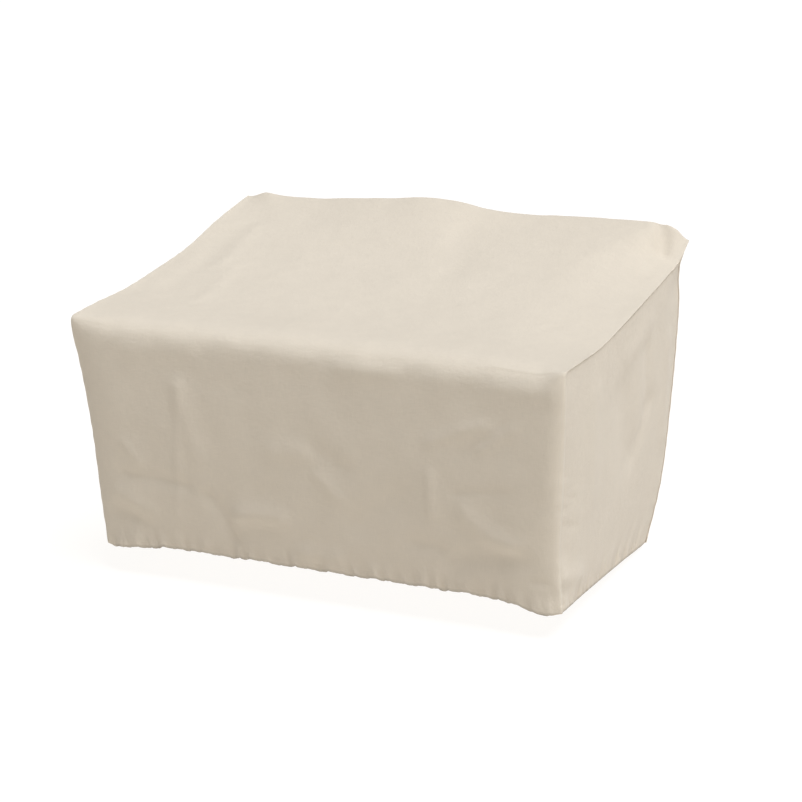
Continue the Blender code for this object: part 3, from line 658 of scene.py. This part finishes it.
def sheet(name, rows, surface, size, turned, wear_and_painted_light):
    """A panel made from its rows, each (b, [a, ...]), where size is the metres for 1 of a and 1 of b."""
    a = np.array([place for b, places in rows for place in places])
    b = np.array([b for b, places in rows for place in places])
    point = surface(a, b) - ORIGIN
    numbered = []
    count = 0
    for _, places in rows:
        numbered.append([(place, count + k) for k, place in enumerate(places)])
        count += len(places)
    faces = []
    for lower, upper in zip(numbered, numbered[1:]):
        faces += bridge(lower, upper, turned)
    data = bpy.data.meshes.new(name)
    data.from_pydata(point.tolist(), [], faces)
    corner = np.empty(len(data.loops), int)
    data.loops.foreach_get("vertex_index", corner)
    flat = np.stack((a * size[0], b * size[1]), axis=1)
    data.uv_layers.new(name="cloth").data.foreach_set("uv", flat[corner].astype(np.float32).ravel())
    for key, value in wear_and_painted_light(a, b).items():
        data.attributes.new(key, "FLOAT", "POINT").data.foreach_set("value", value.astype(np.float32))
    data.shade_smooth()
    piece = linked(name, data)
    thick = piece.modifiers.new("thickness", "SOLIDIFY")
    thick.thickness = CLOTH
    thick.offset = -1
    return piece


def hem_rows(fine):
    """The rows (metres, columns) of a front hem: its turned-under part, then the band above it."""
    under = [(-past, fine) for past in CASING_PLACES]
    return under + [(at, fine) for at in steps(0, HEM_BAND, HEM_ROW)]


def centre_rows():
    """Rows from inside the front hem, over the top, to inside the back hem."""
    beside = [step / WIDTH for step in EDGE_STEPS]
    body = spread(0, 1, BODY_STEP / WIDTH, beside)
    fine = spread(0, 1, HEM_STEP / WIDTH, beside)
    low = hem_rows(fine)
    edge_low, edge_high = FRONT_RUN - FINE_EDGE.before, FRONT_RUN + FINE_EDGE.after
    ridge_low, ridge_high = RIDGE_AT - RIDGE_BEND.before, RIDGE_AT + RIDGE_BEND.after
    alongs = steps(HEM_BAND, edge_low, BODY_STEP)
    alongs += steps(edge_low, edge_high, CORNER_ROW)
    alongs += steps(edge_high, ridge_low, BODY_STEP)
    alongs += steps(ridge_low, ridge_high, CORNER_ROW)
    alongs += steps(ridge_high, CLOTH_RUN - HEM_BAND, BODY_STEP)
    alongs.append(CLOTH_RUN - HEM_BAND)
    high = [(CLOTH_RUN - at, columns) for at, columns in low[::-1]]
    return low + [(along, body) for along in alongs] + high


def side_rows():
    """Rows from inside the hem up to the top seam."""
    beside = [step / DEPTH for step in EDGE_STEPS[2:]]
    beside[0] = 0.0
    body = spread(0, 1, SIDE_STEP / DEPTH, beside)
    fine = spread(0, 1, HEM_STEP / DEPTH, beside)
    low = [(at / FRONT_RUN, columns) for at, columns in hem_rows(fine)]
    first = HEM_BAND / FRONT_RUN
    last = 1 - EDGE_STEPS[-1] / FRONT_RUN
    ups = steps(first, last, SIDE_STEP / FRONT_RUN)
    ups += [1 - step / FRONT_RUN for step in EDGE_STEPS[:1:-1]] + [1.0]
    return low + [(up, body) for up in ups]


def under_ridge():
    """The mount: the underside of the cloth at the middle of the ridge."""
    left, right = LINES["ridge"].left[0], LINES["ridge"].right[0]
    middle = np.array([-left / (right - left)])
    at = np.array([RIDGE_AT])
    return (taut(middle, at) - slopes(taut, middle, at)[0] * CLOTH)[0]


# ---------------------------------------------------------------- where the cloth is rubbed or darker, and where highlight and shade are painted
RUBBED_AND_HIGHLIT_WIDTH = 0.016  # the cloth is paler this near a seam or along the front edge and the ridge: partly rubbed, partly a painted highlight
RUBBED_AND_HIGHLIT_BEHIND_EDGE = 0.060  # but further on the top, behind the front edge
DARKENING_HEIGHT = 0.150  # the cloth is a little darker up to about this height above its hem
DARKENING_CALM = 0.200  # but less so this near an upright seam
TURNED_START = -0.0010  # a shade is painted on the hem from this far past its line
TURNED_FULL = 0.0025  # and is full this much further on


def hem_darkening_and_shade(above, from_seam):
    """Shares of darkening near a hem, and of painted shade along the hem's edge and the part that is
    turned under it.
    """
    return {
        "soiled": np.exp(-np.maximum(above, 0) / DARKENING_HEIGHT) * ease(from_seam / DARKENING_CALM),
        # painted shade along the hem's edge and its turned-under part
        "turned": ease((-above - TURNED_START) / TURNED_FULL) * ease(from_seam / GATHER_CALM),
    }


def centre_wear_and_painted_light(across, along):
    """Shares on the centre panel: rubbing with a painted highlight, darkening towards the hem, and painted
    shade along the hem.
    """
    from_seam = np.minimum(across, 1 - across) * WIDTH
    behind = (along - FRONT_RUN) * np.where(along > FRONT_RUN, RUBBED_AND_HIGHLIT_WIDTH / RUBBED_AND_HIGHLIT_BEHIND_EDGE, 1.0)
    lines = (from_seam, behind, along - RIDGE_AT)
    # paler near the seams, the front edge and the ridge: rubbed, with a painted highlight
    rubbed = np.max([np.exp(-((line / RUBBED_AND_HIGHLIT_WIDTH) ** 2)) for line in lines], axis=0)
    above = np.minimum(along, CLOTH_RUN - along)
    return {"rubbed": rubbed, **hem_darkening_and_shade(above, from_seam)}


def side_wear_and_painted_light(a, b):
    """Shares on a side panel: rubbing with a painted highlight, darkening towards the hem, and painted
    shade along the hem.
    """
    from_upright = np.minimum(a, 1 - a) * DEPTH
    # paler near its seams: rubbed, with a painted highlight
    rubbed = np.exp(-((np.minimum(from_upright, (1 - b) * FRONT_RUN) / RUBBED_AND_HIGHLIT_WIDTH) ** 2))
    return {"rubbed": rubbed, **hem_darkening_and_shade(b * FRONT_RUN, from_upright)}


# ---------------------------------------------------------------- stitches
STITCH_PITCH = 0.0036
STITCH_LENGTH = 0.0027
THREAD = 0.00035  # half the thickness of the sewing thread
STITCH_SIDES = 5
# A stitch's rings: the share of its length, and the share of its radius
STITCH_RINGS = ((0.0, 0.15), (0.25, 1.0), (0.75, 1.0), (1.0, 0.15))
STITCH_SINK = 0.0003  # how far a stitch's ends dip into the cloth
STITCH_RISE = 0.6 * THREAD  # how far its middle lies above the cloth
STITCH_PLACES = 0.002  # between the places that tell a row's course


def stitches(name, lines):
    """Lines of stitches, joined as one mesh. A line is a surface and the places (a, b) on it."""
    points, faces = [], []
    for surface, a, b in lines:
        path = surface(a, b)
        gaps = np.linalg.norm(np.diff(path, axis=0), axis=1)
        run = np.concatenate(((0,), np.cumsum(gaps)))
        count = int(run[-1] / STITCH_PITCH)
        starts = (np.arange(count) + 0.5) * run[-1] / count
        out, _ = slopes(surface, np.interp(starts, run, a), np.interp(starts, run, b))

        def at(distance):
            return np.stack([np.interp(distance, run, path[:, k]) for k in range(3)], axis=1)

        forward = unit(at(starts + STITCH_LENGTH / 2) - at(starts - STITCH_LENGTH / 2))
        sideways = np.cross(forward, out)
        for k in range(count):
            first = len(points)
            for share, radius in STITCH_RINGS:
                centre = at(starts[k : k + 1])[0] + forward[k] * STITCH_LENGTH * (share - 0.5)
                centre = centre + out[k] * (STITCH_RISE if radius == 1 else -STITCH_SINK)
                for side in range(STITCH_SIDES):
                    turn = 2 * math.pi * side / STITCH_SIDES
                    offset = sideways[k] * math.cos(turn) + out[k] * math.sin(turn)
                    points.append(centre + offset * THREAD * radius - ORIGIN)
            for ring in range(len(STITCH_RINGS) - 1):
                low = first + ring * STITCH_SIDES
                for side in range(STITCH_SIDES):
                    after = (side + 1) % STITCH_SIDES
                    high = low + STITCH_SIDES
                    faces.append((low + side, low + after, high + after, high + side))
            faces.append(tuple(first + side for side in range(STITCH_SIDES))[::-1])
            last = first + (len(STITCH_RINGS) - 1) * STITCH_SIDES
            faces.append(tuple(last + side for side in range(STITCH_SIDES)))
    data = bpy.data.meshes.new(name)
    data.from_pydata([tuple(point) for point in points], [], faces)
    data.shade_smooth()
    return linked(name, data)


# ================================================================ materials
CREAM = (0.700, 0.612, 0.490)  # linear colour of the cloth, before it is made paler or darker
DARKER = 0.945  # its darkest weaving, as a share of that
PALER = 1.045  # where it is rubbed, and where a highlight is painted along the seams and edges
# darker colour towards the hem; at UNDER_HEM's share it is the painted shade along the hem
HEM_DARK_AND_SHADE = (0.630, 0.540, 0.430)
UNDER_HEM = 0.45  # the painted shade on the part turned under is this share of that colour
THREAD_COLOUR = (0.745, 0.680, 0.580)
THREAD_DARKER = 0.9
WEAVE_PITCH = 0.0011  # two threads of the plain weave
SLUB_LONG = 0.030  # a thicker stretch of thread is about this long
SLUB_WIDE = 0.0010
# The patterns that make the colour uneven: how fine they are, their detail, and their share
Pattern = namedtuple("Pattern", "scale detail share")
MOTTLE = Pattern(24.0, 4.0, 0.55)
PATCHES = Pattern(5.0, 2.0, 0.45)
SLUB_SHARE = 0.9
DARKENING_SHARE = 0.7
CLOTH_ROUGHNESS = (0.78, 0.92)
WEAVE_RELIEF = (0.5, 0.9)  # shares of the weave and of the slubs in the fine relief
WEAVE_BUMP = (0.6, 0.00026)  # strength and depth of that relief
SOFT_RELIEF = Pattern(75.0, 3.0, 0.0011)  # slight rumples: their share is a depth in metres
CLOTH_SHINE = 0.25
SHEEN = (0.12, 0.55)  # weight and roughness of the cloth's fuzz
THREAD_MOTTLE = 400.0  # how fine the thread's uneven colour is
THREAD_TWIST = (900.0, 0.0001)  # how fine and how deep its twist is
THREAD_ROUGHNESS = 0.6
# A colour mix node's sockets
MIX_SHARE, MIX_ONE, MIX_TWO, MIX_OUT = 0, 6, 7, 2


class Nodes:
    """Short ways to make and join a material's nodes."""

    def __init__(self, material):
        material.use_nodes = True
        self.tree = material.node_tree
        self.shader = self.tree.nodes["Principled BSDF"]

    def new(self, kind, inputs=None, **settings):
        node = self.tree.nodes.new(kind)
        for key, value in settings.items():
            setattr(node, key, value)
        for key, value in (inputs or {}).items():
            self.set(node.inputs[key], value)
        return node

    def set(self, socket, value):
        if isinstance(value, bpy.types.NodeSocket):
            self.tree.links.new(value, socket)
        else:
            socket.default_value = value

    def math(self, operation, one, two=0.0):
        return self.new("ShaderNodeMath", {0: one, 1: two}, operation=operation).outputs[0]

    def mix(self, share, one, two):
        inputs = {MIX_SHARE: share, MIX_ONE: one, MIX_TWO: two}
        return self.new("ShaderNodeMix", inputs, data_type="RGBA").outputs[MIX_OUT]

    def noise(self, where, scale, detail=2.0):
        inputs = {"Vector": where, "Scale": scale, "Detail": detail}
        return self.new("ShaderNodeTexNoise", inputs).outputs["Fac"]

    def pattern(self, where, row):
        return self.noise(where, row.scale, row.detail)

    def attribute(self, name):
        return self.new("ShaderNodeAttribute", attribute_name=name).outputs["Fac"]


def shade(colour, share):
    """A lighter or darker colour, as a node's value."""
    return (*[value * share for value in colour], 1)


def woven(name):
    """Woven cloth: a plain weave with slubs, uneven colour, edges paler from rubbing and a painted
    highlight, darker towards the hem, and painted shade along the hem's edge.
    """
    material = bpy.data.materials.new(name)
    nodes = Nodes(material)
    place = nodes.new("ShaderNodeUVMap", uv_map="cloth").outputs[0]
    axes = nodes.new("ShaderNodeSeparateXYZ", {0: place}).outputs

    turn = 2 * math.pi / WEAVE_PITCH
    warp = nodes.math("SINE", nodes.math("MULTIPLY", axes[0], turn))
    weft = nodes.math("SINE", nodes.math("MULTIPLY", axes[1], turn))
    weave = nodes.math("MULTIPLY", warp, weft)

    def slubs(long_way, wide_way):
        scale = (1 / long_way, 1 / wide_way, 1)
        stretched = nodes.new("ShaderNodeMapping", {"Vector": place, "Scale": scale}).outputs[0]
        return nodes.noise(stretched, 1.0, 1.0)

    slub = nodes.math("ADD", slubs(SLUB_LONG, SLUB_WIDE), slubs(SLUB_WIDE, SLUB_LONG))
    mottle = nodes.pattern(place, MOTTLE)
    patches = nodes.pattern(place, PATCHES)

    uneven = nodes.math("MULTIPLY", nodes.math("SUBTRACT", slub, 1.0), SLUB_SHARE)
    uneven = nodes.math("ADD", uneven, nodes.math("MULTIPLY", mottle, MOTTLE.share))
    uneven = nodes.math("ADD", uneven, nodes.math("MULTIPLY", patches, PATCHES.share))
    uneven = nodes.new("ShaderNodeClamp", {0: uneven}).outputs[0]
    colour = nodes.mix(uneven, shade(CREAM, DARKER), shade(CREAM, 2 - DARKER))
    # paler where rubbed, with a painted highlight along the seams, the front edge and the ridge
    rubbed = nodes.math("MULTIPLY", nodes.attribute("rubbed"), mottle)
    colour = nodes.mix(rubbed, colour, shade(CREAM, PALER))
    # darker towards the hem
    patchy = nodes.math("MULTIPLY", patches, DARKENING_SHARE)
    soiled = nodes.math("MULTIPLY", nodes.attribute("soiled"), patchy)
    colour = nodes.mix(soiled, colour, shade(HEM_DARK_AND_SHADE, 1))
    # painted shade along the hem's edge and its turned-under part
    colour = nodes.mix(nodes.attribute("turned"), colour, shade(HEM_DARK_AND_SHADE, UNDER_HEM))

    low, high = CLOTH_ROUGHNESS
    rough = nodes.new("ShaderNodeMapRange", {"Value": mottle, "To Min": low, "To Max": high}).outputs[0]
    threads = nodes.math("MULTIPLY", weave, WEAVE_RELIEF[0])
    relief = nodes.math("ADD", threads, nodes.math("MULTIPLY", slub, WEAVE_RELIEF[1]))
    strength, depth = WEAVE_BUMP
    fine = nodes.new("ShaderNodeBump", {"Height": relief, "Strength": strength, "Distance": depth})
    rumples = {"Height": nodes.pattern(place, SOFT_RELIEF), "Distance": SOFT_RELIEF.share}
    coarse = nodes.new("ShaderNodeBump", {**rumples, "Normal": fine.outputs[0]})

    nodes.set(nodes.shader.inputs["Base Color"], colour)
    nodes.set(nodes.shader.inputs["Roughness"], rough)
    nodes.set(nodes.shader.inputs["Normal"], coarse.outputs[0])
    nodes.shader.inputs["Specular IOR Level"].default_value = CLOTH_SHINE
    nodes.shader.inputs["Sheen Weight"].default_value = SHEEN[0]
    nodes.shader.inputs["Sheen Roughness"].default_value = SHEEN[1]
    return material


def thread(name):
    """Sewing thread, a little paler than the cloth, with its twist."""
    material = bpy.data.materials.new(name)
    nodes = Nodes(material)
    place = nodes.new("ShaderNodeTexCoord").outputs["Object"]
    uneven = nodes.noise(place, THREAD_MOTTLE)
    colour = nodes.mix(uneven, shade(THREAD_COLOUR, THREAD_DARKER), shade(THREAD_COLOUR, 1))
    nodes.set(nodes.shader.inputs["Base Color"], colour)
    scale, depth = THREAD_TWIST
    twist = nodes.new("ShaderNodeTexWave", {"Vector": place, "Scale": scale, "Distortion": 2.0})
    bump = nodes.new("ShaderNodeBump", {"Height": twist.outputs["Fac"], "Distance": depth})
    nodes.set(nodes.shader.inputs["Normal"], bump.outputs[0])
    nodes.shader.inputs["Roughness"].default_value = THREAD_ROUGHNESS
    return material


def lit_floor(name):
    """The studio floor: an even, pale, matt surface that gives off light."""
    material = bpy.data.materials.new(name)
    shader = Nodes(material).shader
    shader.inputs["Base Color"].default_value = (*FLOOR_COLOUR, 1)
    shader.inputs["Roughness"].default_value = 1.0
    shader.inputs["Specular IOR Level"].default_value = 0.0
    shader.inputs["Emission Color"].default_value = (*FLOOR_GLOW, 1)
    shader.inputs["Emission Strength"].default_value = FLOOR_GLOW_STRENGTH
    return material


# ================================================================ the pieces
ORIGIN = under_ridge()


def dress(piece, material, *replaced):
    """Gives a piece its material, slot and body, and hides the solids that it stands for."""
    piece.data.materials.append(material)
    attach(piece, "root")
    if replaced:
        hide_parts(*replaced)


def stitch_path(start, end, step):
    """Close places from start to end."""
    return np.linspace(start, end, max(2, round(abs(end - start) / step)))


def make_cover():
    """The three panels and the sewing on them."""
    cloth = woven("woven_cloth")
    seam_thread = thread("sewing_thread")
    centre = sheet("centre_cloth", centre_rows(), centre_cloth, (WIDTH, 1), False, centre_wear_and_painted_light)
    dress(centre, cloth, "centre_panel")

    along = stitch_path(0.0, CLOTH_RUN, STITCH_PLACES)
    across = stitch_path(SEAM_STITCH / WIDTH, 1 - SEAM_STITCH / WIDTH, STITCH_PLACES / WIDTH)
    seams, hems = (across[0], across[-1]), (HEM_STITCH, CLOTH_RUN - HEM_STITCH)
    lines = [(centre_face, np.full(along.shape, place), along) for place in seams]
    lines += [(centre_face, across, np.full(across.shape, at)) for at in hems]
    sewing = stitches("centre_stitches", lines)
    dress(sewing, seam_thread)

    size = (DEPTH, FRONT_RUN)
    for side in ("left", "right"):
        name = "side_cloth_" + side
        panel = sheet(name, side_rows(), side_cloth(side), size, side == "left", side_wear_and_painted_light)
        dress(panel, cloth, "side_panel_" + side)


# ================================================================ floor, light and camera
GROUND = -ORIGIN[2]
FLOOR_SIZE = 120.0
FLOOR_COLOUR = (0.10, 0.10, 0.10)  # what it throws back, low so that shadows stay faint
FLOOR_GLOW = (1.0, 0.983, 0.961)
FLOOR_GLOW_STRENGTH = 0.960
BACKDROP = 1.0  # brightness of the far background
WORLD = 0.12  # even light from all round
SUN = 3.80
SUN_COLOUR = (0.895, 0.933, 1.0)
SUN_ANGLE = math.radians(36)  # width of the lamp, for soft shadows
SUN_LEAN = (0.365, -0.124)  # how far along +X and +Y the lamp stands, for each metre up
# The camera, in the same frame as the cloth's sizes
CAMERA_AT = (2.49862, -5.91930, 2.08193)
CAMERA_YAW = math.radians(24.324)
CAMERA_PITCH = math.radians(15.380)
FOCAL_SHARE = 2300 / 802  # focal length, as a share of the picture's width
SENSOR = 36.0  # millimetres


def make_floor():
    """A wide pale floor at the ground's height."""
    data = bpy.data.meshes.new("floor")
    reach = FLOOR_SIZE / 2
    corners = [(x * reach, y * reach, GROUND) for x, y in ((-1, -1), (1, -1), (1, 1), (-1, 1))]
    data.from_pydata(corners, [], [(0, 1, 2, 3)])
    data.materials.append(lit_floor("floor_white"))
    linked("floor", data)


def make_light():
    """Even light from all round and one wide lamp from above, a little to the right and in front."""
    world = bpy.data.worlds.new("studio")
    bpy.context.scene.world = world
    world.use_nodes = True
    nodes, links = world.node_tree.nodes, world.node_tree.links
    nodes["Background"].inputs["Color"].default_value = (1, 1, 1, 1)
    nodes["Background"].inputs["Strength"].default_value = WORLD
    backdrop = nodes.new("ShaderNodeBackground")
    backdrop.inputs["Strength"].default_value = BACKDROP
    mix = nodes.new("ShaderNodeMixShader")
    links.new(nodes.new("ShaderNodeLightPath").outputs["Is Camera Ray"], mix.inputs[0])
    links.new(nodes["Background"].outputs[0], mix.inputs[1])
    links.new(backdrop.outputs[0], mix.inputs[2])
    links.new(mix.outputs[0], nodes["World Output"].inputs["Surface"])
    data = bpy.data.lights.new("wide_lamp", "SUN")
    data.energy = SUN
    data.color = SUN_COLOUR
    data.angle = SUN_ANGLE
    lamp = linked("wide_lamp", data)
    towards = Vector((*SUN_LEAN, 1.0))
    lamp.rotation_euler = towards.to_track_quat("Z", "Y").to_euler()


def make_camera():
    """The camera at the photo's angle."""
    data = bpy.data.cameras.new("camera")
    data.sensor_width = SENSOR
    data.lens = FOCAL_SHARE * SENSOR
    data.clip_end = FLOOR_SIZE * 2
    camera = linked("camera", data)
    camera.location = np.array(CAMERA_AT) - ORIGIN
    camera.rotation_euler = (math.pi / 2 - CAMERA_PITCH, 0, CAMERA_YAW)
    bpy.context.scene.camera = camera


make_cover()
make_floor()
make_light()
make_camera()
bpy.context.scene.view_settings.view_transform = "Standard"
